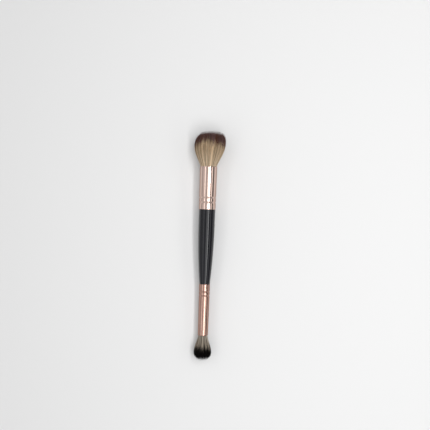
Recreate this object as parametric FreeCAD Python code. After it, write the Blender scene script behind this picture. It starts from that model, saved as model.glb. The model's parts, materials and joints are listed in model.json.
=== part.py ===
import FreeCAD, Part
import math
import os
from dataclasses import dataclass

# A double ended makeup brush, lying on a flat surface as it comes to rest.
# A turned handle carries a drawn metal ferrule at each end. Each ferrule holds a tuft of
# filaments, whose roots are bound with thread and potted in a plug of resin.
# Each end is built on its own axis, with z = 0 at the handle's shoulder and z rising
# towards the tips. The ends are then set on the handle, and the whole brush is laid down
# with its long axis along +Y, the large tuft towards +Y and both tufts on the surface.
# The origin is the middle of the footprint, on that surface. All sizes are in millimetres.

# Handle: parallel from the large shoulder, then curving in to the small one
HANDLE_LENGTH = 57.6
HANDLE_PARALLEL_LENGTH = 12.0
SHOULDER_INSET = 0.07
CURVE_FACETS = 11

# Large end
LARGE_FERRULE_LENGTH = 32.7
LARGE_FERRULE_DIAMETER = 12.7
LARGE_MOUTH_DIAMETER = 13.1
LARGE_CRIMP_PLACE = 5.3
LARGE_CRIMP_SPACING = 3.7
LARGE_TUFT_LENGTH = 27.0
LARGE_TUFT_WIDTH = 24.4
LARGE_TUFT_THICKNESS = 20.8
LARGE_BELLY_HEIGHT = 17.0
LARGE_CROWN_LEAN = 0.8
LARGE_GROOVE_SHARE = 0.05

# Small end
SMALL_FERRULE_LENGTH = 39.6
SMALL_FERRULE_DIAMETER = 8.2
SMALL_MOUTH_DIAMETER = 7.8
SMALL_CRIMP_PLACE = 5.9
SMALL_CRIMP_SPACING = 3.0
SMALL_TUFT_LENGTH = 19.0
SMALL_TUFT_WIDTH = 13.3
SMALL_TUFT_THICKNESS = 12.2
SMALL_BELLY_HEIGHT = 14.3
SMALL_CROWN_LEAN = 0.2
SMALL_GROOVE_SHARE = 0.06

# Ferrule wall, crimps and the tenon inside
FERRULE_WALL = 0.4
CRIMP_WIDTH = 1.5
CRIMP_DEPTH = 0.38
CRIMP_FACETS = 2
TENON_CLEARANCE = 0.05
TENON_CHAMFER = 0.8
TENON_PAST_CRIMPS = 4.0

# Roots, resin and binding
TENON_TO_RESIN = 1.5
RESIN_FLOOR = 2.5
RESIN_RIM = 3.0
RESIN_WALL = 0.75
THREAD_DIAMETER = 0.6
THREAD_TURNS = 2
THREAD_PACKING = 0.85
ROOT_SPREAD_LENGTH = 3.0
FIBRE_CLEARANCE = 0.05

# A tuft's outline flares by a sine raised to a power, up to the belly, and closes over
# the dome by a superellipse. Its surface is gathered into locks with grooves between.
LARGE_FLARE_POWER = 1.3
SMALL_FLARE_POWER = 1.7
LARGE_DOME_POWER = 2.8
SMALL_DOME_POWER = 2.1
LARGE_LOCKS = 28
SMALL_LOCKS = 18
FLARE_SECTIONS = 5
DOME_SECTIONS = 5
CROWN_ANGLE = 78.0
LOCK_VARIATION = 0.35
LOCK_WAVES = (3, 5)

# How far each tuft yields under the brush's own weight
PRESSED_FLAT = 0.35

AXIS = FreeCAD.Vector(0, 0, 1)
ORIGIN = FreeCAD.Vector(0, 0, 0)
ACROSS = FreeCAD.Vector(1, 0, 0)
FLOOR_MARGIN = 10.0


@dataclass(frozen=True)
class BrushEnd:
    """The sizes of one end of the brush, along its own axis from the handle's shoulder."""

    ferrule_length: float
    ferrule_radius: float
    mouth_radius: float
    crimp_places: tuple
    tuft_length: float
    half_width: float
    half_thickness: float
    belly_height: float
    crown_lean: float
    groove_share: float
    flare_power: float
    dome_power: float
    locks: int

    def outer_radius(self, z):
        """The ferrule's outside at a height z, which tapers evenly from shoulder to mouth."""
        share = z / self.ferrule_length
        return self.ferrule_radius + (self.mouth_radius - self.ferrule_radius) * share

    def bore_radius(self, z):
        """The ferrule's inside at a height z."""
        return self.outer_radius(z) - FERRULE_WALL

    def shoulder_radius(self):
        """The handle's radius where it meets the ferrule, just inside the ferrule's edge."""
        return self.ferrule_radius - SHOULDER_INSET

    def tenon_length(self):
        """How far the tenon reaches into the ferrule, past both crimps."""
        return self.crimp_places[-1] + CRIMP_WIDTH / 2 + TENON_PAST_CRIMPS

    def tenon_radius(self):
        """The tenon is parallel, and slips through the narrowest part of the bore."""
        narrowest = min(self.bore_radius(0), self.bore_radius(self.tenon_length()))
        return narrowest - TENON_CLEARANCE

    def resin_heights(self):
        """The resin cup's foot, the floor that the roots end on, and its rim."""
        foot = self.tenon_length() + TENON_TO_RESIN
        floor = foot + RESIN_FLOOR
        return foot, floor, floor + RESIN_RIM

    def bound_radius(self):
        """The radius of the roots where they are bound and set in resin."""
        return self.bore_radius(self.resin_heights()[2]) - RESIN_WALL

    def fibre_radius(self, z):
        """The bundle's radius where it fills the bore."""
        return self.bore_radius(z) - FIBRE_CLEARANCE

    def belly_place(self):
        """How far the tuft's widest section is from the handle's shoulder."""
        return self.ferrule_length + self.belly_height


LARGE_END = BrushEnd(
    ferrule_length=LARGE_FERRULE_LENGTH,
    ferrule_radius=LARGE_FERRULE_DIAMETER / 2,
    mouth_radius=LARGE_MOUTH_DIAMETER / 2,
    crimp_places=(LARGE_CRIMP_PLACE, LARGE_CRIMP_PLACE + LARGE_CRIMP_SPACING),
    tuft_length=LARGE_TUFT_LENGTH,
    half_width=LARGE_TUFT_WIDTH / 2,
    half_thickness=LARGE_TUFT_THICKNESS / 2,
    belly_height=LARGE_BELLY_HEIGHT,
    crown_lean=LARGE_CROWN_LEAN,
    groove_share=LARGE_GROOVE_SHARE,
    flare_power=LARGE_FLARE_POWER,
    dome_power=LARGE_DOME_POWER,
    locks=LARGE_LOCKS,
)

SMALL_END = BrushEnd(
    ferrule_length=SMALL_FERRULE_LENGTH,
    ferrule_radius=SMALL_FERRULE_DIAMETER / 2,
    mouth_radius=SMALL_MOUTH_DIAMETER / 2,
    crimp_places=(SMALL_CRIMP_PLACE, SMALL_CRIMP_PLACE + SMALL_CRIMP_SPACING),
    tuft_length=SMALL_TUFT_LENGTH,
    half_width=SMALL_TUFT_WIDTH / 2,
    half_thickness=SMALL_TUFT_THICKNESS / 2,
    belly_height=SMALL_BELLY_HEIGHT,
    crown_lean=SMALL_CROWN_LEAN,
    groove_share=SMALL_GROOVE_SHARE,
    flare_power=SMALL_FLARE_POWER,
    dome_power=SMALL_DOME_POWER,
    locks=SMALL_LOCKS,
)


def at(radius, z):
    """A point of a turned outline."""
    return FreeCAD.Vector(radius, 0, z)


def turned(points):
    """The solid that a closed outline sweeps about the axis, with spline surfaces for sides."""
    face = Part.Face(Part.makePolygon(points + points[:1]))
    return face.revolve(ORIGIN, AXIS, 360).toNurbs()


def only_solid(shape):
    """The one solid that a boolean operation leaves."""
    assert len(shape.Solids) == 1, "expected one solid"
    return shape.Solids[0]


def crimps(radius_at, places):
    """The points of a wall's line across each crimp, which dips inwards as a shallow arc."""
    points = []
    for place in places:
        for step in range(CRIMP_FACETS + 1):
            share = step / CRIMP_FACETS
            z = place + CRIMP_WIDTH * (share - 0.5)
            points.append(at(radius_at(z) - CRIMP_DEPTH * 4 * share * (1 - share), z))
    return points


def ferrule(end):
    """A drawn tube with a rounded lip at its mouth, crimped onto the tenon in two rings."""
    lip = FERRULE_WALL / 2
    top = end.ferrule_length - lip
    crest = at(end.bore_radius(top) + lip, end.ferrule_length)
    outside = [at(end.outer_radius(0), 0)] + crimps(end.outer_radius, end.crimp_places)
    inside = [at(end.bore_radius(0), 0)] + crimps(end.bore_radius, end.crimp_places)
    lip_edges = [at(end.outer_radius(top), top), crest, at(end.bore_radius(top), top)]
    return turned(outside + lip_edges + inside[::-1])


def bitten(points, radius):
    """The parts of a crimped line that lie inside a radius, with the points where it crosses it."""
    kept = []
    for a, b in zip(points, points[1:]):
        if a.x < radius:
            kept.append(a)
        if (a.x - radius) * (b.x - radius) < 0:
            kept.append(a + (b - a) * ((a.x - radius) / (a.x - b.x)))
    return kept


def tenon_outline(end):
    """The tenon's outline from the shoulder to its tip, with the marks that the crimps press in."""
    radius, tip = end.tenon_radius(), end.tenon_length()
    marks = bitten(crimps(end.bore_radius, end.crimp_places), radius)
    nose = [at(radius, tip - TENON_CHAMFER), at(radius - TENON_CHAMFER, tip), at(0, tip)]
    return [at(radius, 0)] + marks + nose


def handle_curve():
    """The handle's side: a gentle arc that starts in line with the parallel length."""
    large, small = LARGE_END.shoulder_radius(), SMALL_END.shoulder_radius()
    bend, drop = HANDLE_LENGTH - HANDLE_PARALLEL_LENGTH, large - small
    curve_radius = (bend**2 + drop**2) / (2 * drop)
    for step in range(CURVE_FACETS + 1):
        z = bend * step / CURVE_FACETS
        yield at(large - curve_radius + math.sqrt(curve_radius**2 - (bend - z) ** 2), z)


def handle():
    """A turned handle with a tenon at each end, parallel and then curving in."""
    small_tenon = [at(point.x, -point.z) for point in tenon_outline(SMALL_END)]
    large_tenon = [at(point.x, HANDLE_LENGTH + point.z) for point in tenon_outline(LARGE_END)]
    large_shoulder = at(LARGE_END.shoulder_radius(), HANDLE_LENGTH)
    return turned(small_tenon[::-1] + list(handle_curve()) + [large_shoulder] + large_tenon)


def resin_plug(end):
    """A cup of cured resin across the bore, with the filaments' roots set in it."""
    foot, floor, rim = end.resin_heights()
    wall = [at(end.bore_radius(z), z) for z in (foot, rim)]
    hollow = [at(end.bound_radius(), rim), at(end.bound_radius(), floor), at(0, floor)]
    return turned([at(0, foot)] + wall + hollow)


def binding_heights(end):
    """Where the binding starts, on top of the resin, and where its last turn ends."""
    start = end.resin_heights()[2]
    return start, start + THREAD_TURNS * THREAD_DIAMETER


def binding_thread(end):
    """Thread drawn tight round the roots, whose turns pack into one band on top of the resin."""
    inner = end.bound_radius()
    outer = inner + THREAD_DIAMETER * THREAD_PACKING
    start, finish = binding_heights(end)
    return turned([at(inner, start), at(outer, start), at(outer, finish), at(inner, finish)])


def lock_ring(end, z, half_width, half_thickness, lean=0.0):
    """The corners of an outline round a tuft: a crest for each lock, and a groove between two."""
    first, second = LOCK_WAVES
    points = []
    for step in range(2 * end.locks):
        angle = math.pi * step / end.locks - math.pi / 2
        uneven = 1 + LOCK_VARIATION * math.sin(first * angle) * math.cos(second * angle)
        reach = 1 - end.groove_share * uneven if step % 2 else 1.0
        x = lean + half_width * reach * math.cos(angle)
        y = half_thickness * reach * math.sin(angle)
        points.append(FreeCAD.Vector(x, y, z))
    return points


def root_rings(end):
    """Outlines inside the ferrule: bound at the foot, then spreading to fill the bore."""
    bound = end.bound_radius()
    bind_top = binding_heights(end)[1]
    yield lock_ring(end, end.resin_heights()[1], bound, bound)
    yield lock_ring(end, bind_top, bound, bound)
    for z in (bind_top + ROOT_SPREAD_LENGTH, end.ferrule_length):
        yield lock_ring(end, z, end.fibre_radius(z), end.fibre_radius(z))


def head_ring(end, height, half_width, half_thickness):
    """An outline of the free filaments, which lean more and more towards the tips."""
    lean = end.crown_lean * (height / end.tuft_length) ** 2
    return lock_ring(end, end.ferrule_length + height, half_width, half_thickness, lean)


def flare_rings(end):
    """Outlines from just past the mouth to just below the belly."""
    start = end.fibre_radius(end.ferrule_length)
    for step in range(1, FLARE_SECTIONS):
        share = step / FLARE_SECTIONS
        flare = math.sin(share * math.pi / 2) ** end.flare_power
        half_width = start + (end.half_width - start) * flare
        half_thickness = start + (end.half_thickness - start) * flare
        yield head_ring(end, share * end.belly_height, half_width, half_thickness)


def dome_rings(end):
    """Outlines from the belly over the shoulder to the flat of the crown."""
    crown = math.radians(CROWN_ANGLE)
    rise = (end.tuft_length - end.belly_height) / math.sin(crown) ** (2 / end.dome_power)
    for step in range(DOME_SECTIONS + 1):
        angle = crown * step / DOME_SECTIONS
        height = end.belly_height + rise * math.sin(angle) ** (2 / end.dome_power)
        close = math.cos(angle) ** (2 / end.dome_power)
        yield head_ring(end, height, end.half_width * close, end.half_thickness * close)


def facet(corners):
    """A flat face with the given corners."""
    return Part.Face(Part.makePolygon([*corners, corners[0]]))


def skinned(rings):
    """The solid inside a stack of outlines: flat at both ends, with two flat facets a side."""
    faces = [facet(rings[0]), facet(rings[-1])]
    for low, high in zip(rings, rings[1:]):
        for a, b, c, d in zip(low, low[1:] + low[:1], high[1:] + high[:1], high):
            faces.append(facet((a, b, c)))
            faces.append(facet((a, c, d)))
    shell = Part.makeShell(faces)
    shell.sewShape()
    return Part.makeSolid(shell)


def tuft(end):
    """One tuft of filaments, from its root in the resin to its domed crown."""
    return skinned([*root_rings(end), *flare_rings(end), *dome_rings(end)])


def brush():
    """Every piece of the brush by name, standing on the handle's axis."""
    to_large = FreeCAD.Placement(AXIS * HANDLE_LENGTH, FreeCAD.Rotation())
    to_small = FreeCAD.Placement(ORIGIN, FreeCAD.Rotation(ACROSS, 180))
    makers = {
        "ferrule": ferrule,
        "tuft": tuft,
        "resin_plug": resin_plug,
        "binding_thread": binding_thread,
    }
    pieces = {"handle": handle()}
    for size, end, place in (("large", LARGE_END, to_large), ("small", SMALL_END, to_small)):
        for name, make in makers.items():
            pieces[f"{size}_{name}"] = make(end).transformed(place.toMatrix())
    return pieces


def rest_placement(pieces):
    """Lays the brush on the undersides of both bellies, and centres it over the origin."""
    large_belly = FreeCAD.Vector(0, LARGE_END.half_thickness, HANDLE_LENGTH + LARGE_END.belly_place())
    small_belly = FreeCAD.Vector(0, SMALL_END.half_thickness, -SMALL_END.belly_place())
    underside = large_belly - small_belly
    turn = FreeCAD.Rotation(ACROSS, math.degrees(math.atan2(underside.y, underside.z)) - 90)
    tufts = Part.makeCompound([pieces["large_tuft"], pieces["small_tuft"]])
    box = tufts.transformed(FreeCAD.Placement(ORIGIN, turn).toMatrix()).optimalBoundingBox(False, False)
    drop = turn.multVec(small_belly).z + PRESSED_FLAT
    return FreeCAD.Placement(FreeCAD.Vector(-box.Center.x, -box.Center.y, -drop), turn)


def press_flat(shape):
    """Takes off what the surface presses in under a tuft."""
    box = shape.BoundBox
    corner = FreeCAD.Vector(box.XMin - FLOOR_MARGIN, box.YMin - FLOOR_MARGIN, -FLOOR_MARGIN)
    width, length = box.XLength + 2 * FLOOR_MARGIN, box.YLength + 2 * FLOOR_MARGIN
    return only_solid(shape.cut(Part.makeBox(width, length, FLOOR_MARGIN, corner)))


def main():
    """Builds the brush, lays it down and writes one file for each piece."""
    os.makedirs("parts", exist_ok=True)
    pieces = brush()
    rest = rest_placement(pieces).toMatrix()
    for name, shape in pieces.items():
        laid = shape.transformed(rest)
        if name.endswith("_tuft"):
            laid = press_flat(laid)
        laid.exportStep(f"parts/{name}.step")


if __name__ == "__main__":
    main()
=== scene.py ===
"""The looks of a double ended makeup brush that lies on a pale floor.

Each class holds the sizes of one sub-assembly in metres and builds its meshes round the
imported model. Both ends are built along the handle's own axis, which the record gives.
"""

import json
import logging
import math
from dataclasses import dataclass
from enum import Enum

import bpy
import numpy as np
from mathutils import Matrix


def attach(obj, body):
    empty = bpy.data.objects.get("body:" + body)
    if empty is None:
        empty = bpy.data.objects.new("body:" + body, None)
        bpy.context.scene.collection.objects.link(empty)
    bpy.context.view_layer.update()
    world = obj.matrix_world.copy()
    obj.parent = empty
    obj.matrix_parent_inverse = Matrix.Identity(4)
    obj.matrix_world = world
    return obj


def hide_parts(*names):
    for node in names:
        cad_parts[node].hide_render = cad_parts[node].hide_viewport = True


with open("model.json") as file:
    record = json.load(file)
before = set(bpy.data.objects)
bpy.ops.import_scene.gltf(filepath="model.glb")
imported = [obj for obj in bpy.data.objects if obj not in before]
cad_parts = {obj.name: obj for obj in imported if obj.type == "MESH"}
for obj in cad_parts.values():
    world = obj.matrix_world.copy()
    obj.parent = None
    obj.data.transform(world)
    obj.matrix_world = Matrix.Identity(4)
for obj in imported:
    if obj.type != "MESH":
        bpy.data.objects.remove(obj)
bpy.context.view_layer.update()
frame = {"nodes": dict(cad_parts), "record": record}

MM = 0.001
BODY = "root"
FULL_TURN = 2 * math.pi
GOLDEN_ANGLE = math.pi * (3 - math.sqrt(5))
ON_AXIS = 1e-9
LEAST_REACH = 1e-6
HEIGHT_DIGITS = 7
SHOULDER_BAND = 0.01 * MM
MOUTH_BAND = 1.0 * MM
COLOUR = "NodeSocketColor"
VALUE = "NodeSocketFloat"
log = logging.getLogger("brush")

Colour = tuple[float, float, float]
Point = tuple[float, float]
Array = np.ndarray
Chance = np.random.Generator
Material = bpy.types.Material
Node = bpy.types.Node
Object = bpy.types.Object
Socket = bpy.types.NodeSocket
Tree = bpy.types.NodeTree


class Side(Enum):
    """The two ends of the brush, by the first word of their pieces' names."""

    LARGE = "large"
    SMALL = "small"

    def node(self, piece: str) -> str:
        """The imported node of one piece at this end."""
        return f"{self.value}_{piece}"


class Layer(Enum):
    """The parts of a tuft, from its middle to its skin."""

    HEART = "heart"
    SKIN = "skin"


class Draw(Enum):
    """What a tuft draws by chance, and how far from its seed the draw's own seed is."""

    LOCK_PLACES = 0
    LOCK_LEANS = 1
    LOCK_DYES = 2
    SPINS = 3
    WISP_PLACES = 4
    LAYERS = 10


# Shader graphs


@dataclass(frozen=True)
class Grain:
    """Noise: its features to a metre, how fine it is along the brush, and its finer layers."""

    scale: float
    along: float = 1.0
    detail: float = 2.0


@dataclass
class ShaderGraph:
    """A node tree under construction, with short calls for its nodes."""

    tree: Tree

    def give(self, node: Node, inputs: dict) -> None:
        """Gives a node its inputs.

        Args:
            node: the node.
            inputs: a value or a socket for each input, by name or number.
        """
        for key, value in inputs.items():
            socket = node.inputs[key]
            if isinstance(value, Socket):
                self.tree.links.new(value, socket)
            else:
                socket.default_value = (*value, 1.0) if socket.type == "RGBA" else value

    def add(self, kind: str, inputs: dict | None = None, **settings: object) -> Node:
        """Adds one node.

        Args:
            kind: the node's type, such as "ShaderNodeTexNoise".
            inputs: a value or a socket for each input, by name or number.
            settings: the node's own properties, set before its inputs.

        Returns:
            The new node.
        """
        node = self.tree.nodes.new(kind)
        for name, value in settings.items():
            setattr(node, name, value)
        self.give(node, inputs or {})
        return node

    def maths(self, operation: str, *values: float | Socket, clamp: bool = False) -> Socket:
        """The result of one Math node, kept from 0 to 1 if it is clamped."""
        inputs = dict(enumerate(values))
        return self.add("ShaderNodeMath", inputs, operation=operation, use_clamp=clamp).outputs[0]

    def blend(self, share: Socket, first: Colour | Socket, second: Colour | Socket) -> Socket:
        """A mix of two colours: the first at a share of 0, and the second at 1."""
        inputs = {0: share, 6: first, 7: second}
        return self.add("ShaderNodeMix", inputs, data_type="RGBA").outputs[2]

    def scaled(self, colour: Socket, factor: Socket) -> Socket:
        """A colour times a factor."""
        inputs = {0: colour, "Scale": factor}
        return self.add("ShaderNodeVectorMath", inputs, operation="SCALE").outputs[0]

    def ease(self, value: Socket, low: float | Socket, high: float | Socket) -> Socket:
        """A smooth step from 0 where the value is low to 1 where it is high."""
        inputs = {"Value": value, "From Min": low, "From Max": high}
        return self.add("ShaderNodeMapRange", inputs, interpolation_type="SMOOTHSTEP").outputs[0]

    def measure(self, name: str) -> Socket:
        """The value of one of the mesh's own measures."""
        return self.add("ShaderNodeAttribute", attribute_name=name).outputs["Fac"]

    def noise(self, grain: Grain) -> Socket:
        """Noise in the object's own space.

        Args:
            grain: its scale, stretch and detail.

        Returns:
            The noise, from 0 to 1.
        """
        place = self.add("ShaderNodeTexCoord").outputs["Object"]
        stretch = {"Vector": place, "Scale": (1.0, grain.along, 1.0)}
        spread = self.add("ShaderNodeMapping", stretch).outputs[0]
        inputs = {"Vector": spread, "Scale": grain.scale, "Detail": grain.detail}
        return self.add("ShaderNodeTexNoise", inputs).outputs[0]


@dataclass
class Surface(ShaderGraph):
    """A material under construction."""

    material: Material
    shader: Node

    @classmethod
    def named(cls, name: str) -> "Surface":
        """Starts a material.

        Args:
            name: its name.

        Returns:
            Its surface, with a Principled shader.
        """
        material = bpy.data.materials.new(name)
        material.use_nodes = True
        tree = material.node_tree
        return cls(tree, material, tree.nodes["Principled BSDF"])

    def place(self, group: Tree, values: dict[str, object]) -> bpy.types.NodeOutputs:
        """Places a shader group, with this material's own values for its inputs."""
        return self.add("ShaderNodeGroup", values, node_tree=group).outputs

    def bump(self, height: Socket, depth: float) -> None:
        """Feeds a height to the shader's normal, where a height of 1 is this deep in metres."""
        made = self.add("ShaderNodeBump", {"Height": height, "Distance": depth, "Strength": 1.0})
        self.give(self.shader, {"Normal": made.outputs[0]})


def shader_group(
    name: str, inputs: dict[str, str], outputs: dict[str, str]
) -> tuple[ShaderGraph, bpy.types.NodeOutputs, Node]:
    """Starts a shader node group.

    Args:
        name: the group's name.
        inputs: the socket type of each input, by name.
        outputs: the socket type of each output, by name.

    Returns:
        The group's graph, the sockets that its inputs come from, and its output node.
    """
    tree = bpy.data.node_groups.new(name, "ShaderNodeTree")
    for way, sockets in (("INPUT", inputs), ("OUTPUT", outputs)):
        for socket, kind in sockets.items():
            tree.interface.new_socket(socket, in_out=way, socket_type=kind)
    graph = ShaderGraph(tree)
    return graph, graph.add("NodeGroupInput").outputs, graph.add("NodeGroupOutput")


DYE_COLOURS = ("Root", "Body", "Golden", "Tip", "Warm Tip")
DYE_VALUES = ("Root Length", "Tip Length", "Tip Fade", "Lock Contrast", "Fibre Contrast")
TIP_CONTRAST = 0.65
WARM_TIP_GAIN = 2.0


def filament_dye() -> Tree:
    """Builds the group that dyes a filament from its root to its tip.

    Returns:
        A group that reads each filament's own measures and gives its colour and tip mask.
    """
    inputs = dict.fromkeys(DYE_COLOURS, COLOUR) | dict.fromkeys(DYE_VALUES, VALUE)
    outputs = {"Colour": COLOUR, "Tip Mask": VALUE}
    graph, given, result = shader_group("filament_dye", inputs, outputs)
    lock, fibre = graph.measure("lock_tone"), graph.measure("fibre_tone")
    grown = graph.ease(graph.measure("from_mouth_mm"), 0.0, given["Root Length"])
    plain = graph.blend(grown, given["Root"], given["Body"])
    golden = graph.maths("MULTIPLY", lock, -1.0, clamp=True)
    warmed = graph.blend(golden, plain, given["Golden"])
    by_lock = graph.maths("MULTIPLY", lock, given["Lock Contrast"])
    by_fibre = graph.maths("MULTIPLY", fibre, given["Fibre Contrast"])
    lit = graph.maths("ADD", graph.maths("ADD", by_lock, by_fibre), 1.0)
    fade_start = graph.maths("SUBTRACT", given["Tip Length"], given["Tip Fade"])
    body_mask = graph.ease(graph.measure("from_tip_mm"), fade_start, given["Tip Length"])
    tip_mask = graph.maths("SUBTRACT", 1.0, body_mask)
    warm_share = graph.maths("MULTIPLY", golden, WARM_TIP_GAIN, clamp=True)
    warm_tip = graph.blend(warm_share, given["Tip"], given["Warm Tip"])
    both_tones = graph.maths("ADD", lock, fibre)
    tip_tone = graph.maths("MULTIPLY_ADD", both_tones, TIP_CONTRAST, 1.0)
    toned, tipped = graph.scaled(warmed, lit), graph.scaled(warm_tip, tip_tone)
    dyed = graph.blend(tip_mask, toned, tipped)
    graph.give(result, {"Colour": dyed, "Tip Mask": tip_mask})
    return graph.tree


SMUDGES = Grain(160.0, detail=4.0)
SMUDGE_EDGE = (0.45, 0.68)
SMEARS = Grain(900.0, 0.22, 3.0)
FINE_LINES = Grain(9000.0, 0.012)


def handled_surface() -> Tree:
    """Builds the group for the smudges and fine lines that handling leaves on a hard finish.

    Returns:
        A group that gives a roughness and the height of the fine lines along the brush.
    """
    inputs = {"Roughness": VALUE, "Smudge": VALUE, "Lines": VALUE}
    outputs = {"Roughness": VALUE, "Height": VALUE}
    graph, given, result = shader_group("handled_surface", inputs, outputs)
    smudged = graph.ease(graph.noise(SMUDGES), *SMUDGE_EDGE)
    smeared = graph.maths("MULTIPLY", smudged, graph.noise(SMEARS))
    dulled = graph.maths("MULTIPLY", smeared, given["Smudge"])
    rough = graph.maths("ADD", given["Roughness"], dulled)
    lines = graph.maths("MULTIPLY", graph.noise(FINE_LINES), given["Lines"])
    graph.give(result, {"Roughness": rough, "Height": lines})
    return graph.tree


# Finishes


@dataclass(frozen=True)
class Finish:
    """What every finish has: the record's slot, which its material is named after."""

    slot: str

    def start(self, shade: str = "finish") -> Surface:
        """Starts the material, named for one of its copies if it has more than one."""
        return Surface.named(f"{self.slot}_{shade}")


@dataclass(frozen=True)
class FilamentFinish(Finish):
    """Fine synthetic filaments, dyed darker at their tips. The lengths are in millimetres."""

    root: Colour
    body: Colour
    golden: Colour
    # The tip colour. On the tan filaments it is dark brown dye lightened by painted sheen.
    tip: Colour
    warm_tip: Colour
    root_length: float
    tip_length: float
    tip_fade: float
    lock_contrast: float = 0.4
    fibre_contrast: float = 0.3
    body_roughness: float = 0.42
    tip_roughness: float = 0.55
    gloss: float = 0.35

    def material(self, dye: Tree) -> Material:
        """Builds the material.

        Args:
            dye: the group that dyes a filament.

        Returns:
            The material.
        """
        surface = self.start()
        names = DYE_COLOURS + DYE_VALUES
        values = {name: getattr(self, name.lower().replace(" ", "_")) for name in names}
        dyed = surface.place(dye, values)
        change = self.tip_roughness - self.body_roughness
        rough = surface.maths("MULTIPLY_ADD", dyed["Tip Mask"], change, self.body_roughness)
        looks = {"Base Color": dyed["Colour"], "Roughness": rough}
        surface.give(surface.shader, looks | {"Specular IOR Level": self.gloss})
        return surface.material


@dataclass(frozen=True)
class MetalFinish(Finish):
    """Polished rose_gold on drawn metal; a darker, redder copy of it holds painted shade."""

    shade: str
    pale: Colour = (0.74, 0.565, 0.50)
    deep: Colour = (0.64, 0.475, 0.41)
    edge: Colour = (0.45, 0.33, 0.28)
    tint: Grain = Grain(420.0, 0.15, 3.0)
    roughness: float = 0.12
    smudge: float = 0.12
    lines: float = 1.0
    line_depth: float = 0.0003 * MM

    def material(self, handled: Tree) -> Material:
        """Builds the material.

        Args:
            handled: the group for handled surfaces.

        Returns:
            The material.
        """
        surface = self.start(f"{self.shade}_finish")
        values = {"Roughness": self.roughness, "Smudge": self.smudge, "Lines": self.lines}
        wear = surface.place(handled, values)
        colour = surface.blend(surface.noise(self.tint), self.pale, self.deep)
        looks = {"Base Color": colour, "Roughness": wear["Roughness"]}
        surface.give(surface.shader, looks | {"Metallic": 1.0, "Specular Tint": self.edge})
        surface.bump(wear["Height"], self.line_depth)
        return surface.material


@dataclass(frozen=True)
class LacquerFinish(Finish):
    """Gloss lacquer over a black ground on turned wood."""

    ground: Colour = (0.008, 0.008, 0.013)
    depth: Colour = (0.003, 0.003, 0.004)
    pools: Grain = Grain(220.0, 0.3)
    ripples: Grain = Grain(520.0, 0.35, 1.0)
    ripple_depth: float = 0.002 * MM
    roughness: float = 0.3
    smudge: float = 0.2
    lines: float = 0.15
    ground_gloss: float = 0.04
    coat_roughness: float = 0.05
    coat_ior: float = 1.4

    def material(self, handled: Tree) -> Material:
        """Builds the material.

        Args:
            handled: the group for handled surfaces.

        Returns:
            The material.
        """
        surface = self.start()
        values = {"Roughness": self.roughness, "Smudge": self.smudge, "Lines": self.lines}
        wear = surface.place(handled, values)
        colour = surface.blend(surface.noise(self.pools), self.ground, self.depth)
        height = surface.maths("ADD", surface.noise(self.ripples), wear["Height"])
        looks = {
            "Base Color": colour,
            "Roughness": wear["Roughness"],
            "Specular IOR Level": self.ground_gloss,
            "Coat Weight": 1.0,
            "Coat Roughness": self.coat_roughness,
            "Coat IOR": self.coat_ior,
        }
        surface.give(surface.shader, looks)
        surface.bump(height, self.ripple_depth)
        return surface.material


@dataclass(frozen=True)
class ResinFinish(Finish):
    """Cured amber resin that pots the roots."""

    thin: Colour = (0.50, 0.36, 0.17)
    thick: Colour = (0.30, 0.19, 0.07)
    pools: Grain = Grain(700.0, detail=3.0)
    pool_edge: Point = (0.35, 0.7)
    pool_depth: float = 0.02 * MM
    roughness: float = 0.2
    roughness_rise: float = 0.15

    def material(self) -> Material:
        """Builds the material.

        Returns:
            The material.
        """
        surface = self.start()
        pooled = surface.noise(self.pools)
        colour = surface.blend(surface.ease(pooled, *self.pool_edge), self.thin, self.thick)
        rough = surface.maths("MULTIPLY_ADD", pooled, self.roughness_rise, self.roughness)
        surface.give(surface.shader, {"Base Color": colour, "Roughness": rough})
        surface.bump(pooled, self.pool_depth)
        return surface.material


@dataclass(frozen=True)
class ThreadFinish(Finish):
    """Twisted binding thread."""

    crest: Colour = (0.66, 0.61, 0.52)
    # Painted shade: the colour in the valleys between the plies.
    shaded_valley: Colour = (0.40, 0.36, 0.29)
    ply_scale: float = 900.0
    ply_distortion: float = 1.5
    ply_detail: float = 2.0
    ply_depth: float = 0.08 * MM
    roughness: float = 0.85
    roughness_rise: float = -0.1

    def material(self) -> Material:
        """Builds the material.

        Returns:
            The material.
        """
        surface = self.start()
        inputs = {
            "Vector": surface.add("ShaderNodeTexCoord").outputs["Object"],
            "Scale": self.ply_scale,
            "Distortion": self.ply_distortion,
            "Detail": self.ply_detail,
        }
        plies = surface.add("ShaderNodeTexWave", inputs, bands_direction="DIAGONAL").outputs["Fac"]
        # The valleys of the twist are coloured darker than the crests: painted shade.
        colour = surface.blend(plies, self.shaded_valley, self.crest)
        rough = surface.maths("MULTIPLY_ADD", plies, self.roughness_rise, self.roughness)
        surface.give(surface.shader, {"Base Color": colour, "Roughness": rough})
        surface.bump(plies, self.ply_depth)
        return surface.material


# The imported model's own sizes


@dataclass(frozen=True)
class BrushAxis:
    """The line that the handle and the ferrules are turned about, with its directions."""

    point: Array
    along: Array

    @classmethod
    def of(cls, record: dict) -> "BrushAxis":
        """Reads the axis from the record's mount on the handle.

        Args:
            record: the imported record.

        Returns:
            The axis, which points at the large end.
        """
        mount = next(mount for mount in record["mounts"] if mount["name"] == "handle_clip")
        along = np.array(mount["axis"], float)
        return cls(np.array(mount["pos_m"], float), along / np.linalg.norm(along))

    @property
    def up(self) -> Array:
        """Square to the axis, and as upright as that allows."""
        upright = np.array((0.0, 0.0, 1.0)) - self.along * self.along[2]
        return upright / np.linalg.norm(upright)

    def measured(self, node: str) -> tuple[Array, Array]:
        """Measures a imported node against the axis.

        Args:
            node: the node's name.

        Returns:
            How far along the axis each of its vertices is, and how far from it.
        """
        mesh = frame["nodes"][node].data
        flat = np.empty(3 * len(mesh.vertices), np.float32)
        mesh.vertices.foreach_get("co", flat)
        offset = flat.reshape(-1, 3) - self.point
        stations = offset @ self.along
        return stations, np.linalg.norm(offset - np.outer(stations, self.along), axis=1)


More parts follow.
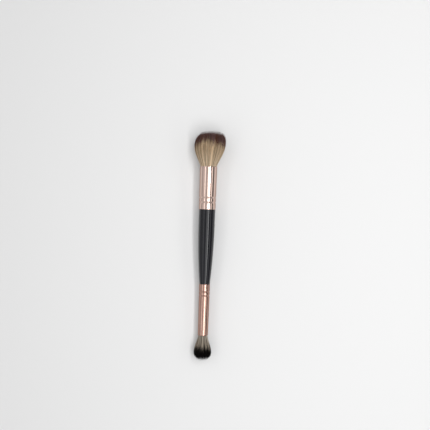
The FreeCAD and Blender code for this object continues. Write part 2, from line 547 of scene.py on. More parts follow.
@dataclass(frozen=True)
class EndFrame:
    """One end of the brush: heights rise from the handle's shoulder towards the tips."""

    side: Side
    axis: BrushAxis
    shoulder: float
    sign: float
    ferrule_length: float
    shoulder_radius: float
    mouth_radius: float
    bore_radius: float
    tuft_length: float
    tenon_length: float
    resin_height: float
    resin_rim: float
    thread_top: float
    root_radius: float

    @classmethod
    def of(cls, side: Side, axis: BrushAxis) -> "EndFrame":
        """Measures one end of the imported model.

        Args:
            side: which end.
            axis: the brush's axis.

        Returns:
            The end's frame and sizes.
        """
        sign = 1.0 if side is Side.LARGE else -1.0
        stations, radii = axis.measured(side.node("ferrule"))
        shoulder = (stations * sign).min()

        def heights(node: str) -> Array:
            """How far each vertex of a node is from the shoulder."""
            return axis.measured(node)[0] * sign - shoulder

        ferrule = heights(side.node("ferrule"))
        tuft = heights(side.node("tuft"))
        length = ferrule.max()
        near_mouth = ferrule > length - MOUTH_BAND
        return cls(
            side=side,
            axis=axis,
            shoulder=shoulder * sign,
            sign=sign,
            ferrule_length=length,
            shoulder_radius=radii[ferrule < SHOULDER_BAND].max(),
            mouth_radius=radii[near_mouth].max(),
            bore_radius=radii[near_mouth].min(),
            tuft_length=tuft.max() - length,
            tenon_length=heights("handle").max(),
            resin_height=tuft.min(),
            resin_rim=heights(side.node("resin_plug")).max(),
            thread_top=heights(side.node("binding_thread")).max(),
            root_radius=axis.measured(side.node("binding_thread"))[1].min(),
        )

    def placed(self, points: Array) -> Array:
        """Puts (sideways, up, height) places in the row's frame, with sideways along its X."""
        basis = np.stack([(1.0, 0.0, 0.0), self.axis.up, self.axis.along * self.sign])
        return self.axis.point + self.axis.along * self.shoulder + points @ basis


# Meshes


def put(name: str, data: bpy.types.ID) -> Object:
    """Puts an object in the scene.

    Args:
        name: the object's name.
        data: its mesh, lamp or camera.

    Returns:
        The object.
    """
    made = bpy.data.objects.new(name, data)
    bpy.context.scene.collection.objects.link(made)
    return made


def mesh_piece(name: str, points: Array, corners: Array, sizes: Array) -> Object:
    """Makes a mesh object in the row's frame.

    Args:
        name: the piece's name.
        points: its vertices.
        corners: the vertices of its faces, one face after another.
        sizes: how many corners each face has.

    Returns:
        The object.
    """
    mesh = bpy.data.meshes.new(name)
    mesh.vertices.add(len(points))
    mesh.vertices.foreach_set("co", points.astype(np.float32).ravel())
    mesh.loops.add(len(corners))
    mesh.loops.foreach_set("vertex_index", corners.astype(np.int32))
    mesh.polygons.add(len(sizes))
    mesh.polygons.foreach_set("loop_start", (np.cumsum(sizes) - sizes).astype(np.int32))
    mesh.polygons.foreach_set("use_smooth", np.ones(len(sizes), bool))
    mesh.update(calc_edges=True)
    return put(name, mesh)


def turned_piece(
    name: str, end: EndFrame, outline: list[Point], segments: int, sharp: float
) -> Object:
    """Turns a closed outline about the axis.

    Args:
        name: the piece's name.
        end: the end whose heights the outline uses.
        outline: its (radius, height) points, which run round the section once.
        segments: how many steps the turn has.
        sharp: the angle in degrees above which an edge shows.

    Returns:
        The piece.
    """
    radii, heights = np.array(outline).T
    steps = np.arange(segments)
    angles = FULL_TURN * steps / segments
    on_axis = radii < ON_AXIS
    counts = np.where(on_axis, 1, segments)
    first = np.cumsum(counts) - counts
    rings = []
    for radius, height, count in zip(radii, heights, counts):
        turns = angles[:count]
        level = np.full(count, height)
        rings.append(np.stack([radius * np.cos(turns), radius * np.sin(turns), level], axis=1))
    beside = np.stack([steps, (steps + 1) % segments])
    faces = []
    for here in range(len(outline)):
        after = (here + 1) % len(outline)
        if on_axis[here] and on_axis[after]:
            continue
        low, low_next = first[here] + beside * (counts[here] > 1)
        high, high_next = first[after] + beside * (counts[after] > 1)
        for face in zip(low, low_next, high_next, high):
            faces.append(list(dict.fromkeys(int(corner) for corner in face)))
    if end.sign > 0:
        faces = [face[::-1] for face in faces]
    sizes = np.array([len(face) for face in faces])
    piece = mesh_piece(name, end.placed(np.concatenate(rings)), np.concatenate(faces), sizes)
    piece.data.set_sharp_from_angle(angle=math.radians(sharp))
    return piece


def arc(centre: Point, radius: float, start: float, finish: float, steps: int) -> list[Point]:
    """The points of an arc between two angles in degrees, where 0 points away from the axis."""
    turns = [math.radians(start + (finish - start) * step / steps) for step in range(steps + 1)]
    return [(centre[0] + radius * math.cos(at), centre[1] + radius * math.sin(at)) for at in turns]


def dressed(piece: Object, finish: Material, node: str) -> Object:
    """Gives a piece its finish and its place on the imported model.

    Args:
        piece: the piece.
        finish: its material.
        node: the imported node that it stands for.

    Returns:
        The piece.
    """
    piece.data.materials.append(finish)
    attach(piece, BODY)
    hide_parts(node)
    return piece


def dress_node(node: str, finish: Material) -> Object:
    """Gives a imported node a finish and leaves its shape.

    Args:
        node: the node.
        finish: its material.

    Returns:
        The node's object.
    """
    shown = frame["nodes"][node]
    shown.data.materials.clear()
    shown.data.materials.append(finish)
    return shown


@dataclass(frozen=True)
class Ferrule:
    """A drawn tube with a rolled lip at its mouth, crimped onto the handle in two rings."""

    end: EndFrame
    crimp_places: tuple[float, float]
    crimp_width: float = 1.5 * MM
    crimp_depth: float = 0.38 * MM
    crimp_steps: int = 12
    crimp_shoulder: float = 0.05 * MM
    even_rings: int = 12
    edge_round: float = 0.08 * MM
    edge_steps: int = 4
    lip_swell: float = 0.05 * MM
    lip_length: float = 0.9 * MM
    lip_middle: float = 0.6
    lip_turn: Point = (8.0, 180.0)
    lip_steps: int = 10
    segments: int = 160
    sharp_angle: float = 50.0

    @property
    def wall(self) -> float:
        """The thickness of the metal."""
        return self.end.mouth_radius - self.end.bore_radius

    def outside(self, height: float) -> float:
        """The outer radius at a height, with no crimps."""
        share = height / self.end.ferrule_length
        return self.end.shoulder_radius + (self.end.mouth_radius - self.end.shoulder_radius) * share

    def crimped(self, height: float) -> float:
        """How far the wall is pressed in at a height.

        Args:
            height: the height.

        Returns:
            The depth there, which swells a little beside each groove as pushed metal does.
        """
        depth = 0.0
        for place in self.crimp_places:
            off = (height - place) / (self.crimp_width / 2)
            if abs(off) < 1:
                depth += self.crimp_depth * 0.5 * (1 + math.cos(math.pi * off))
            elif abs(off) < 2:
                depth -= self.crimp_shoulder * 0.5 * (1 - math.cos(FULL_TURN * off))
        return depth

    def bore(self, height: float) -> float:
        """The inner radius at a height."""
        return self.outside(height) - self.crimped(height) - self.wall

    def crimp_heights(self) -> set[float]:
        """The heights of the rings across both crimps and the swells beside them.

        Returns:
            The heights, rounded so that each counts once.
        """
        steps = range(-self.crimp_steps, self.crimp_steps + 1)
        offsets = [self.crimp_width * step / self.crimp_steps for step in steps]
        heights = [place + offset for place in self.crimp_places for offset in offsets]
        return {round(height, HEIGHT_DIGITS) for height in heights}

    def outline(self) -> list[Point]:
        """The tube's section.

        Returns:
            Its points, up the outside, over the lip and down the inside.
        """
        length = self.end.ferrule_length
        lip, half_swell = self.wall / 2, self.lip_swell * 0.5
        even = [length * share / self.even_rings for share in range(1, self.even_rings)]
        heights = self.crimp_heights().union(round(height, HEIGHT_DIGITS) for height in even)
        lip_start = length - self.lip_length
        walls = [height for height in sorted(heights) if self.edge_round < height < lip_start]
        edge = (self.outside(0) - self.edge_round, self.edge_round)
        foot = arc(edge, self.edge_round, -90, 0, self.edge_steps)
        outer = [(self.outside(height) - self.crimped(height), height) for height in walls]
        rim = self.outside(length)
        swell = [
            (self.outside(lip_start), lip_start),
            (rim + half_swell, length - self.lip_length * self.lip_middle),
            (rim + self.lip_swell, length - lip),
        ]
        rolled = arc((rim - lip + half_swell, length - lip), lip, *self.lip_turn, self.lip_steps)
        inner = [(self.bore(height), height) for height in reversed(walls)]
        return foot + outer + swell + rolled + inner + [(self.outside(0) - self.wall, 0.0)]

    def build(self, finish: Material) -> Object:
        """Builds and dresses the ferrule.

        Args:
            finish: its material.

        Returns:
            The piece.
        """
        name = f"{self.end.side.value}_ferrule_shell"
        piece = turned_piece(name, self.end, self.outline(), self.segments, self.sharp_angle)
        return dressed(piece, finish, self.end.side.node("ferrule"))


@dataclass(frozen=True)
class Handle:
    """A turned handle: parallel from the large shoulder, then curving in to the small one."""

    large_ferrule: Ferrule
    small_ferrule: Ferrule
    parallel_length: float = 12.0 * MM
    shoulder_inset: float = 0.07 * MM
    edge_round: float = 0.22 * MM
    edge_steps: int = 5
    curve_steps: int = 48
    tenon_play: float = 0.05 * MM
    bite_play: float = 0.02 * MM
    nose: float = 0.8 * MM
    segments: int = 160
    sharp_angle: float = 40.0

    @property
    def length(self) -> float:
        """The distance from shoulder to shoulder."""
        return self.large_ferrule.end.shoulder - self.small_ferrule.end.shoulder

    def radius_at(self, height: float) -> float:
        """The handle's radius.

        Args:
            height: the distance from the small shoulder.

        Returns:
            The radius on the gentle arc, which starts in line with the parallel length.
        """
        large = self.large_ferrule.end.shoulder_radius - self.shoulder_inset
        drop = large - (self.small_ferrule.end.shoulder_radius - self.shoulder_inset)
        bend = self.length - self.parallel_length
        arc_radius = (bend**2 + drop**2) / (2 * drop)
        if height > bend:
            return large
        return large - arc_radius + math.sqrt(arc_radius**2 - (bend - height) ** 2)

    def tenon(self, ferrule: Ferrule) -> list[Point]:
        """The outline of one tenon, with the marks that the crimps press into it.

        Args:
            ferrule: the ferrule that is crimped onto it.

        Returns:
            Its points from the shoulder to the axis, as (radius, height at that end).
        """
        tip = ferrule.end.tenon_length
        radius = min(ferrule.bore(0.0), ferrule.bore(tip)) - self.tenon_play
        marks = []
        for height in sorted(ferrule.crimp_heights()):
            if ferrule.crimped(height) > 0:
                marks.append((min(radius, ferrule.bore(height) - self.bite_play), height))
        nose = [(radius, tip - self.nose), (radius - self.nose, tip), (0.0, tip)]
        return [(radius, 0.0), *marks, *nose]

    def outline(self) -> list[Point]:
        """The handle's section in the large end's heights.

        Returns:
            Its points, from the small tenon's tip to the large tenon's tip.
        """
        length, turn = self.length, self.edge_round
        small_tenon = reversed(self.tenon(self.small_ferrule))
        small = [(radius, -length - height) for radius, height in small_tenon]
        low = arc((self.radius_at(0) - turn, turn - length), turn, -90, 0, self.edge_steps)
        top = arc((self.radius_at(length) - turn, -turn), turn, 0, 90, self.edge_steps)
        stations = [length * step / self.curve_steps for step in range(1, self.curve_steps)]
        side = [(self.radius_at(station), station - length) for station in stations]
        return small + low + side + top + self.tenon(self.large_ferrule)

    def build(self, finish: Material) -> Object:
        """Builds and dresses the handle.

        Args:
            finish: its material.

        Returns:
            The piece.
        """
        end, outline = self.large_ferrule.end, self.outline()
        piece = turned_piece("turned_handle", end, outline, self.segments, self.sharp_angle)
        return dressed(piece, finish, "handle")


# The tufts


@dataclass(frozen=True)
class FibreLayer:
    """How many filaments one layer of a tuft has, and how finely each is drawn."""

    layer: Layer
    fibres: int
    pieces: int
    inside: float
    outside: float
    flare_steps: int
    dome_steps: int


@dataclass(frozen=True)
class Accent:
    """A lock that stands out: where it is across the brush, and how pale or golden it is."""

    across: float
    width: float
    tone: float

    def tones(self, across: Array) -> Array:
        """The tone that the lock adds at places across the brush."""
        return self.tone * np.exp(-(((across - self.across) / self.width) ** 2))


@dataclass(frozen=True)
class Planting:
    """Where the filaments of one layer start in the bore, and what each belongs to."""

    start: Array
    reach: Array
    home: Array
    lock: Array
    wisp: Array
    wrap: Array


def nearest(places: Array, centres: Array) -> Array:
    """The number of the nearest centre to each flat place."""
    return np.argmin(((places[:, None] - centres[None]) ** 2).sum(axis=2), axis=1)


@dataclass(frozen=True)
class Tuft:
    """A dense tuft of fine filaments, potted in the ferrule and splayed into a dome."""

    end: EndFrame
    half_width: float
    half_thickness: float
    belly_height: float
    crown_lean: float
    flare_power: float
    dome_power: float
    locks: int
    layers: tuple[FibreLayer, ...]
    accents: tuple[Accent, ...]
    slot: str
    seed: int
    lip_spill: float
    # How much further the dark tips reach down the left and right sides as seen from above, less
    # far where negative. On the large tuft this is partly dye and partly painted shade at its
    # sides.
    side_dye_and_shade: float
    tip_taper: float
    length_scatter: float
    stray_share: float
    stray_length: float
    lock_lean: float
    fibre_radius: float = 0.055 * MM
    fibre_sides: int = 3
    wisps: int = 1100
    place_scatter: float = 0.25
    clump: float = 0.2
    clump_spread: float = 0.6
    clump_power: float = 1.3
    tip_wrap: Point = (25.0, 54.0)
    thickness_doming: float = 0.7
    crown_lean_power: float = 2.0
    lock_lean_power: int = 2
    tip_scatter: float = 0.28 * MM
    tip_scatter_power: int = 3
    wave_depth: float = 0.10 * MM
    wave_turn: float = 7.0
    spill_start: float = 0.8
    spill_width: float = 0.2
    spill_rise: float = 0.5 * MM
    lock_tone_spread: float = 0.16
    wisp_tone_spread: float = 0.42
    lock_tip_scatter: float = 0.9
    fibre_tip_scatter: float = 0.8
    foot_gap: float = 0.02 * MM
    spread_rise: float = 4.0 * MM
    spread_share: float = 0.99
    floor_gap: float = 0.03 * MM
    mouth_gap: float = 0.12 * MM
    strip_slimness: float = 2.2
    strip_across: Point = (0.15, 0.7)
    strip_along: Point = (0.04, 0.92)

    @property
    def bore(self) -> float:
        """The radius of the bundle in the ferrule's mouth."""
        return self.end.bore_radius - self.mouth_gap

    def chance(self, draw: Draw, number: int = 0) -> Chance:
        """The source of chance for one of the tuft's draws."""
        return np.random.default_rng(self.seed + draw.value + number)

    def gathering_places(self, count: int, rng: Chance) -> Array:
        """Where locks or wisps gather on the tuft's section.

        Args:
            count: how many there are.
            rng: the source of chance.

        Returns:
            Places in a disc of radius 1, spread evenly with a little scatter.
        """
        order = np.arange(count)
        reach = np.sqrt((order + 0.5) / count)
        turn = order * GOLDEN_ANGLE
        even = np.stack([reach * np.cos(turn), reach * np.sin(turn)], axis=1)
        return even + rng.normal(0, self.place_scatter / math.sqrt(count), even.shape)

    def plant(self, layer: FibreLayer, rng: Chance) -> Planting:
        """Chooses where the filaments of one layer start.

        Args:
            layer: the layer.
            rng: the source of chance.

        Returns:
            Their places on a disc of radius 1 and their locks' places, the lock and wisp that
            each belongs to, and how far round the dome each bends, in radians.
        """
        reach = np.sqrt(rng.uniform(layer.inside**2, layer.outside**2, layer.fibres))
        turn = rng.uniform(0, FULL_TURN, layer.fibres)
        start = np.stack([reach * np.cos(turn), reach * np.sin(turn)], axis=1)
        locks = self.gathering_places(self.locks, self.chance(Draw.LOCK_PLACES))
        wisps = self.gathering_places(self.wisps, self.chance(Draw.WISP_PLACES))
        wrap = np.radians(rng.uniform(*self.tip_wrap, layer.fibres))
        lock, wisp = nearest(start, locks), nearest(start, wisps)
        return Planting(start, reach, locks[lock], lock, wisp, wrap)

    def envelope(self, layer: FibreLayer, wrap: Array) -> tuple[Array, Array]:
        """The splay and dome that a tuft's outermost filaments follow.

        Args:
            layer: the layer, for its steps.
            wrap: how far round the dome each filament bends, in radians.

        Returns:
            For each filament and ring: the share of the way from the bore to the belly's
            width, and the share of its height above the mouth (below 1) or belly (above 1).
        """
        flare_share = np.arange(layer.flare_steps + 1) / layer.flare_steps
        flare = np.sin(flare_share * math.pi / 2) ** self.flare_power
        below = np.broadcast_to(flare, (len(wrap), len(flare)))
        below_height = np.broadcast_to(flare_share, below.shape)
        turn = wrap[:, None] * (np.arange(1, layer.dome_steps + 1) / layer.dome_steps)
        close = np.cos(turn) ** (2 / self.dome_power)
        rise = (np.sin(turn) / np.sin(wrap)[:, None]) ** (2 / self.dome_power)
        splay = np.concatenate([below, close], axis=1)
        return splay, np.concatenate([below_height, 1 + rise], axis=1)

    def grown_heights(
        self, planting: Planting, rise: Array, rng: Chance
    ) -> Array:
        """Grows the filaments to a dome, with shorter ones and strays.

        Args:
            planting: where they start.
            rise: the share of its height that each of their rings has.
            rng: the source of chance.

        Returns:
            The height of each ring above the mouth.
        """
        start, count, power = planting.start, len(planting.wrap), self.dome_power
        domed = np.hypot(start[:, 0], start[:, 1] * self.thickness_doming)
        tip_share = (domed * np.cos(planting.wrap) ** (2 / power)).clip(0, 1)
        dome = (self.end.tuft_length - self.belly_height) * (1 - tip_share**power) ** (1 / power)
        stray = rng.uniform(0, 1, count) < self.stray_share
        longer = dome + rng.uniform(0, self.stray_length, count)
        shorter = dome * (1 - self.length_scatter * np.abs(rng.normal(0, 1, count)))
        low, high = np.minimum(rise, 1.0), np.maximum(rise - 1.0, 0.0)
        return low * self.belly_height + high * np.where(stray, longer, shorter)[:, None]

    def gathered(
        self, planting: Planting, splay: Array, height: Array, flare_steps: int
    ) -> Array:
        """Gathers the filaments into locks, widens the bundle and spills it over the lip.

        Args:
            planting: where they start.
            splay: the share of the belly's width that each of their rings has.
            height: the height of each ring above the mouth.
            flare_steps: how many steps the flare has.

        Returns:
            The place of each ring on the tuft's section.
        """
        start, grown = planting.start, height / self.end.tuft_length
        pull = self.clump * np.clip(grown / self.clump_spread, 0, 1) ** self.clump_power
        places = start[:, None] + (planting.home - start)[:, None] * pull[:, :, None]
        above = np.arange(splay.shape[1]) > flare_steps
        half = np.array((self.half_width, self.half_thickness))
        share = splay[:, :, None]
        wide = np.where(above[None, :, None], half * share, self.bore + (half - self.bore) * share)
        near_lip = np.clip((planting.reach - self.spill_start) / self.spill_width, 0, 1)
        spill = self.lip_spill * near_lip[:, None] * (1 - np.exp(-height / self.spill_rise))
        fading = spill * (1 - splay.clip(0, 1)) * (~above)
        outward = start / np.maximum(planting.reach, LEAST_REACH)[:, None]
        return places * wide + outward[:, None] * fading[:, :, None]

    def swayed(
        self, places: Array, lock: Array, grown: Array, rng: Chance
    ) -> Array:
        """Lets the locks lean, the filaments wave and stray, and the crown lean.

        Args:
            places: the place of each ring on the tuft's section.
            lock: the number of each filament's lock.
            grown: the share of the tuft's length at each ring.
            rng: the source of chance.

        Returns:
            The new places.
        """
        leans = self.chance(Draw.LOCK_LEANS).normal(0, self.lock_lean, (self.locks, 2))
        leaning = leans[lock][:, None] * (grown**self.lock_lean_power)[:, :, None]
        scatter = rng.normal(0, self.tip_scatter, (len(lock), 2))[:, None]
        strands = scatter * (grown**self.tip_scatter_power)[:, :, None]
        phase = rng.uniform(0, FULL_TURN, (len(lock), 1, 2))
        share = grown[:, :, None]
        wave = self.wave_depth * np.sin(self.wave_turn * share + phase) * share
        swayed = places + leaning + strands + wave
        swayed[:, :, 0] += self.crown_lean * grown**self.crown_lean_power
        return swayed

    def rooted(self, start: Array, line: Array) -> Array:
        """Adds the roots, which run through the resin and the binding thread.

        Args:
            start: where the filaments start on a disc of radius 1.
            line: their centre lines from the mouth up.

        Returns:
            The centre lines from the foot up.
        """
        count, top = len(start), self.end.thread_top
        foot_height = self.end.resin_height + self.foot_gap
        spread_height = self.end.resin_rim + self.spread_rise
        held = self.end.root_radius - 2 * self.fibre_radius
        slope = (self.bore * self.spread_share - held) / (spread_height - top)
        foot_radius = held - slope * (top - foot_height)
        foot = np.column_stack([start * foot_radius, np.full(count, foot_height)])
        reach = start * self.bore * self.spread_share
        spread = np.column_stack([reach, np.full(count, spread_height)])
        return np.concatenate([foot[:, None], spread[:, None], line], axis=1)

    def dye_measures(
        self, planting: Planting, line: Array, rng: Chance
    ) -> dict[str, Array]:
        """Measures what the dye reads; the shift of the tip line at the sides of the large tuft is
        partly painted shade.

        Args:
            planting: where the filaments start.
            line: their centre lines.
            rng: the source of chance.

        Returns:
            The measures by name, for each point of each filament.
        """
        across, lock, count = planting.start[:, 0], planting.lock, len(line)
        lengths = np.linalg.norm(np.diff(line, axis=1), axis=2)
        left = np.cumsum(lengths[:, ::-1], axis=1)[:, ::-1]
        from_tip = np.concatenate([left, np.zeros((count, 1))], axis=1)
        dyes = self.chance(Draw.LOCK_DYES)
        accents = sum(accent.tones(across) for accent in self.accents)
        tone = dyes.normal(0, self.lock_tone_spread, self.locks)[lock] + accents
        tone = tone + dyes.normal(0, self.wisp_tone_spread, self.wisps)[planting.wisp]
        ragged = dyes.normal(0, self.lock_tip_scatter, self.locks)[lock]
        # The term across the brush moves the dark tips down the left and right sides as seen from
        # above: partly painted shade.
        ragged = ragged + rng.normal(0, self.fibre_tip_scatter, count) - self.side_dye_and_shade * across**2
        fibre_tone = rng.uniform(-1, 1, count)
        return {
            "from_tip_mm": from_tip / MM + ragged[:, None],
            "from_mouth_mm": (line[:, :, 2] - self.end.ferrule_length).clip(0) / MM,
            "lock_tone": np.broadcast_to(tone.clip(-1, 1)[:, None], from_tip.shape),
            "fibre_tone": np.broadcast_to(fibre_tone[:, None], from_tip.shape),
        }

    def paths(
        self, layer: FibreLayer, rng: Chance
    ) -> tuple[Array, dict[str, Array]]:
        """Lays out the filaments of one layer.

        Args:
            layer: the layer.
            rng: the source of chance.

        Returns:
            Each filament's centre line as (sideways, up, height) points, and its measures.
        """
        planting = self.plant(layer, rng)
        splay, rise = self.envelope(layer, planting.wrap)
        height = self.grown_heights(planting, rise, rng)
        places = self.gathered(planting, splay, height, layer.flare_steps)
        places = self.swayed(places, planting.lock, height / self.end.tuft_length, rng)
        above = (self.end.ferrule_length + height)[:, :, None]
        line = self.rooted(planting.start, np.concatenate([places, above], axis=2))
        return line, self.dye_measures(planting, line, rng)

    def strand_faces(self, rings: int) -> list[list[int]]:
        """The faces of one filament.

        Args:
            rings: how many points its centre line has.

        Returns:
            The corners of its sides from the foot up, of its tip and of its foot.
        """
        sides = self.fibre_sides
        here = np.arange(sides)
        beside = (here + 1) % sides
        quads = []
        for base in sides * np.arange(rings - 2):
            top = base + sides
            quads.append(np.stack([base + here, base + beside, top + beside, top + here], axis=1))
        last, tip = (rings - 2) * sides, (rings - 1) * sides
        cone = np.stack([last + here, last + beside, np.full(sides, tip)], axis=1)
        faces = np.concatenate(quads).tolist() + cone.tolist() + [here[::-1].tolist()]
        return faces if self.end.sign < 0 else [face[::-1] for face in faces]

    def strands(self, name: str, line: Array, measures: dict[str, Array]) -> Object:
        """Makes one piece of three-sided tapered filaments.

        Args:
            name: the piece's name.
            line: the filaments' centre lines.
            measures: what each point of them measures.

        Returns:
            The piece, with its measures and a map that gives each filament its own strip.
        """
        (count, rings), sides = line.shape[:2], self.fibre_sides
        spin = self.chance(Draw.SPINS).uniform(0, FULL_TURN, count)
        angle = spin[:, None] + (FULL_TURN * np.arange(sides) / sides)[None]
        radius = self.fibre_radius * (1 - (1 - self.tip_taper) * np.linspace(0, 1, rings - 1))
        ring = np.stack([np.cos(angle), np.sin(angle), np.zeros_like(angle)], axis=2)
        tube = line[:, :-1, None] + ring[:, None] * radius[None, :, None, None]
        placed = self.end.placed(np.concatenate([tube.reshape(count, -1, 3), line[:, -1:]], axis=1))
        placed[:, :, 2] = np.maximum(placed[:, :, 2], self.floor_gap)
        faces = self.strand_faces(rings)
        flat, sizes = np.concatenate(faces), np.array([len(face) for face in faces])
        corners = (np.arange(count)[:, None] * placed.shape[1] + flat[None]).ravel()
        piece = mesh_piece(name, placed.reshape(-1, 3), corners, np.tile(sizes, count))
        for measure, values in measures.items():
            below = np.repeat(values[:, :-1], sides, axis=1)
            spread = np.concatenate([below, values[:, -1:]], axis=1)
            kept = piece.data.attributes.new(measure, "FLOAT", "POINT")
            kept.data.foreach_set("value", spread.astype(np.float32).ravel())
        self.strip_map(piece, count, rings, flat)
        return piece

    def strip_map(self, piece: Object, count: int, rings: int, flat: Array) -> None:
        """Gives each filament its own strip of the UV map named OFBake.

        Args:
            piece: the piece.
            count: how many filaments it has.
            rings: how many points each of them has.
            flat: the corners of one filament's faces.
        """
        sides, last = self.fibre_sides, rings - 1
        rows = max(1, round(math.sqrt(count) / self.strip_slimness))
        columns = math.ceil(count / rows)
        cell = np.arange(count)
        left = (cell % columns) / columns
        bottom = (cell // columns) / rows
        ring = np.minimum(flat // sides, last)
        around = np.where(flat == last * sides, 1.0, flat % sides) / (sides - 1)
        (side, width), (foot, length) = self.strip_across, self.strip_along
        across = left[:, None] + (side + width * around[None]) / columns
        along = bottom[:, None] + (foot + length * ring[None] / last) / rows
        layer = piece.data.uv_layers.new(name="OFBake")
        places = np.stack([across, along], axis=2)
        layer.uv.foreach_set("vector", places.astype(np.float32).ravel())

    def build(self, finish: Material) -> list[Object]:
        """Builds and dresses the tuft.

        Args:
            finish: its material.

        Returns:
            Its pieces.
        """
        made = []
        for number, layer in enumerate(self.layers):
            line, measures = self.paths(layer, self.chance(Draw.LAYERS, number))
            order = np.argsort(np.arctan2(line[:, 2, 1], line[:, 2, 0]), kind="stable")
            for part, chosen in enumerate(np.array_split(order, layer.pieces), start=1):
                name = f"{self.end.side.value}_tuft_{layer.layer.value}_{part}"
                kept = {key: values[chosen] for key, values in measures.items()}
                piece = self.strands(name, line[chosen], kept)
                made.append(dressed(piece, finish, self.end.side.node("tuft")))
        return made


# The studio


@dataclass(frozen=True)
class Softbox:
    """A long soft lamp in line with the brush, and how far round the brush it hangs.

    Its radiance is a factor on the watts that a lamp has for each square metre.
    """

    name: str
    angle: float
    width: float
    radiance: float
    length: float = 1.1
    distance: float = 0.7
    area_watts: float = 4.0

    def build(self) -> None:
        """Hangs the lamp, facing the line of the brush."""
        lamp = bpy.data.lights.new(self.name, "AREA")
        lamp.shape = "RECTANGLE"
        lamp.size, lamp.size_y = self.width, self.length
        lamp.energy = self.area_watts * self.width * self.length * self.radiance
        hung = put(self.name, lamp)
        turn = math.radians(self.angle)
        hung.location = (self.distance * math.sin(turn), 0.0, self.distance * math.cos(turn))
        hung.rotation_euler = (0.0, turn, 0.0)


@dataclass(frozen=True)
class Studio:
    """A pale floor, soft light and the camera, which looks straight down."""

    floor_half: float = 4.0
    floor_colour: Colour = (0.74, 0.74, 0.74)
    floor_roughness: float = 0.85
    floor_gloss: float = 0.1
    tones: tuple[Point, ...] = (
        (-90.0, 0.42),
        (-60.0, 0.72),
        (-30.0, 0.70),
        (-14.0, 0.52),
        (-6.0, 0.30),
        (22.0, 0.16),
        (70.0, 0.16),
        (90.0, 0.24),
    )
    end_tone: float = 0.34
    end_edge: Point = (0.86, 0.99)
    softboxes: tuple[Softbox, ...] = (
        Softbox("overhead", 11.5, 0.40, 1.65),
        Softbox("overhead_core", 25.5, 0.08, 5.4, distance=0.69),
        Softbox("left_strip", -40.0, 0.11, 0.95),
        Softbox("right_strip", 54.0, 0.18, 0.92),
    )
    camera_height: float = 0.46
    axis_height: float = 8.4 * MM
    picture_width: float = 0.331
    centre_shift: Point = (6.7 * MM, 23.8 * MM)
    roll: float = 2.0
    sensor: float = 36.0

    def floor(self) -> None:
        """Lays the floor just under the brush."""
        half = self.floor_half
        corners = [(-half, -half, 0), (half, -half, 0), (half, half, 0), (-half, half, 0)]
        mesh = bpy.data.meshes.new("floor")
        mesh.from_pydata(corners, [], [(0, 1, 2, 3)])
        surface = Surface.named("pale_floor")
        looks = {"Base Color": self.floor_colour, "Roughness": self.floor_roughness}
        surface.give(surface.shader, looks | {"Specular IOR Level": self.floor_gloss})
        mesh.materials.append(surface.material)
        laid = put("floor", mesh)

    def sky(self) -> None:
        """Lights the room softly, in broad bands that run in line with the brush."""
        world = bpy.data.worlds.new("studio")
        world.use_nodes = True
        graph = ShaderGraph(world.node_tree)
        way = graph.add("ShaderNodeTexCoord").outputs["Generated"]
        axes = graph.add("ShaderNodeSeparateXYZ", {0: way}).outputs
        angle = graph.maths("ARCTAN2", axes["X"], axes["Z"])
        aside = graph.ease(graph.maths("ABSOLUTE", axes["Y"]), *self.end_edge)
        share = graph.maths("MULTIPLY_ADD", angle, 1 / math.pi, 0.5, clamp=True)
        bands = graph.add("ShaderNodeValToRGB", {0: share})
        ramp = bands.color_ramp
        ramp.interpolation = "EASE"
        while len(ramp.elements) < len(self.tones):
            ramp.elements.new(0.5)
        for element, (degrees, level) in zip(ramp.elements, self.tones):
            element.position = degrees / 180 + 0.5
            element.color = (level, level, level, 1.0)
        tone = graph.blend(aside, bands.outputs[0], (self.end_tone,) * 3)
        graph.give(world.node_tree.nodes["Background"], {"Color": tone})
        bpy.context.scene.world = world

    def camera(self) -> None:
        """Hangs the camera over the brush, turned as the brush leans in the picture."""
        data = bpy.data.cameras.new("camera")
        data.sensor_width = self.sensor
        data.lens = self.sensor * (self.camera_height - self.axis_height) / self.picture_width
        camera = put("camera", data)
        lean = math.radians(self.roll)
        right, up = self.centre_shift
        camera.location = (
            right * math.cos(lean) - up * math.sin(lean),
            right * math.sin(lean) + up * math.cos(lean),
            self.camera_height,
        )
        camera.rotation_euler = (0.0, 0.0, lean)
        bpy.context.scene.camera = camera

    def build(self) -> None:
        """Sets up the whole studio."""
        self.floor()
        self.sky()
        self.camera()
        for softbox in self.softboxes:
            softbox.build()
        bpy.context.scene.view_settings.view_transform = "Standard"


# The whole brush


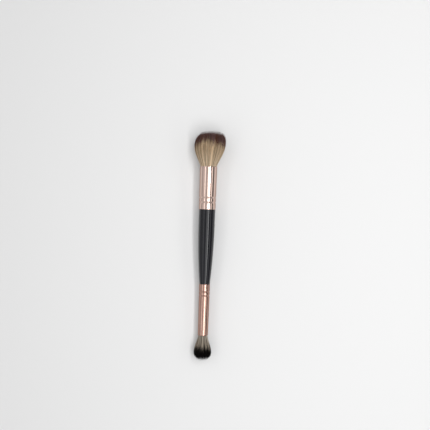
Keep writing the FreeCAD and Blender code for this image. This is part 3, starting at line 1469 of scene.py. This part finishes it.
@dataclass(frozen=True)
class MakeupBrush:
    """The whole brush: its measured ends, where its crimps are, and every finish."""

    large: EndFrame
    small: EndFrame
    large_crimps: tuple[float, float] = (5.3 * MM, 9.0 * MM)
    small_crimps: tuple[float, float] = (5.9 * MM, 8.9 * MM)
    champagne: MetalFinish = MetalFinish("rose_gold", "champagne")
    # A darker, redder copy of the same rose_gold metal for the small ferrule: painted shade for the
    # darker surroundings that it reflects.
    rose_painted_shade: MetalFinish = MetalFinish(
        slot="rose_gold",
        shade="rose_painted_shade",
        pale=(0.545, 0.355, 0.295),
        deep=(0.44, 0.27, 0.22),
        edge=(0.31, 0.20, 0.17),
    )
    lacquer: LacquerFinish = LacquerFinish("black_lacquer")
    resin: ResinFinish = ResinFinish("resin")
    thread: ThreadFinish = ThreadFinish("thread")
    tan: FilamentFinish = FilamentFinish(
        slot="tan_filaments",
        root=(0.71, 0.575, 0.415),
        body=(0.645, 0.49, 0.32),
        golden=(0.39, 0.24, 0.11),
        # Dark brown dye lightened to a grey brown: partly painted sheen of the tips.
        tip=(0.118, 0.062, 0.058),
        warm_tip=(0.165, 0.046, 0.016),
        root_length=16.0,
        tip_length=8.8,
        tip_fade=3.0,
    )
    dark: FilamentFinish = FilamentFinish(
        slot="dark_filaments",
        root=(0.38, 0.335, 0.28),
        body=(0.36, 0.305, 0.245),
        golden=(0.15, 0.127, 0.104),
        tip=(0.003, 0.002, 0.002),
        warm_tip=(0.006, 0.004, 0.003),
        root_length=6.0,
        tip_length=10.4,
        tip_fade=2.4,
        lock_contrast=0.6,
        fibre_contrast=0.4,
        gloss=0.08,
    )

    @property
    def large_tuft(self) -> Tuft:
        """The large end's tuft.

        Returns:
            The tuft, which is tan with dark brown tips.
        """
        return Tuft(
            end=self.large,
            half_width=11.85 * MM,
            half_thickness=10.2 * MM,
            belly_height=16.5 * MM,
            crown_lean=2.1 * MM,
            crown_lean_power=2.6,
            flare_power=1.35,
            dome_power=2.6,
            locks=260,
            layers=(
                FibreLayer(Layer.HEART, 5200, 1, 0.0, 0.74, 2, 2),
                FibreLayer(Layer.SKIN, 6600, 4, 0.74, 1.0, 5, 4),
            ),
            accents=(
                Accent(0.13, 0.12, 0.45),
                Accent(0.36, 0.06, -0.6),
                Accent(0.66, 0.14, -0.14),
                Accent(-0.18, 0.03, -0.4),
                Accent(-0.42, 0.04, -0.5),
                Accent(-0.75, 0.12, -0.35),
            ),
            slot="tan_filaments",
            seed=21,
            lip_spill=0.25 * MM,
            # Partly painted shade: the dark tips reach further down this tuft's sides.
            side_dye_and_shade=1.9,
            tip_taper=0.2,
            length_scatter=0.16,
            stray_share=0.14,
            stray_length=1.3 * MM,
            lock_lean=0.25 * MM,
            clump=0.06,
            lock_tip_scatter=0.8,
        )

    @property
    def small_tuft(self) -> Tuft:
        """The small end's tuft.

        Returns:
            The tuft, which is grey beige with black tips.
        """
        return Tuft(
            end=self.small,
            half_width=6.7 * MM,
            half_thickness=6.1 * MM,
            belly_height=13.4 * MM,
            crown_lean=0.2 * MM,
            flare_power=1.7,
            dome_power=2.0,
            locks=90,
            layers=(
                FibreLayer(Layer.HEART, 1500, 1, 0.0, 0.72, 2, 2),
                FibreLayer(Layer.SKIN, 2700, 2, 0.72, 1.0, 5, 4),
            ),
            accents=(
                Accent(0.02, 0.05, 0.9),
                Accent(-0.2, 0.08, -0.6),
                Accent(0.25, 0.1, -0.6),
                Accent(0.7, 0.1, -0.5),
            ),
            slot="dark_filaments",
            seed=57,
            lip_spill=0.12 * MM,
            side_dye_and_shade=-2.4,
            tip_taper=0.3,
            length_scatter=0.2,
            stray_share=0.16,
            stray_length=1.1 * MM,
            lock_lean=0.22 * MM,
            tip_scatter=0.3 * MM,
        )

    def build(self) -> list[Object]:
        """Builds and dresses every piece.

        Returns:
            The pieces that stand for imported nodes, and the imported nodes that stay.
        """
        handled, dye = handled_surface(), filament_dye()
        large_ferrule = Ferrule(self.large, self.large_crimps)
        small_ferrule = Ferrule(self.small, self.small_crimps)
        pieces = [
            Handle(large_ferrule, small_ferrule).build(self.lacquer.material(handled)),
            large_ferrule.build(self.champagne.material(handled)),
            small_ferrule.build(self.rose_painted_shade.material(handled)),
            *self.large_tuft.build(self.tan.material(dye)),
            *self.small_tuft.build(self.dark.material(dye)),
        ]
        resin, thread = self.resin.material(), self.thread.material()
        for side in Side:
            pieces.append(dress_node(side.node("resin_plug"), resin))
            pieces.append(dress_node(side.node("binding_thread"), thread))
        return pieces


def main() -> None:
    """Builds the studio and the brush, and reports each piece."""
    logging.basicConfig(level=logging.INFO)
    Studio().build()
    axis = BrushAxis.of(frame["record"])
    brush = MakeupBrush(EndFrame.of(Side.LARGE, axis), EndFrame.of(Side.SMALL, axis))
    for piece in brush.build():
        log.info("%s: %d faces", piece.name, len(piece.data.polygons))


if __name__ == "__main__":
    main()
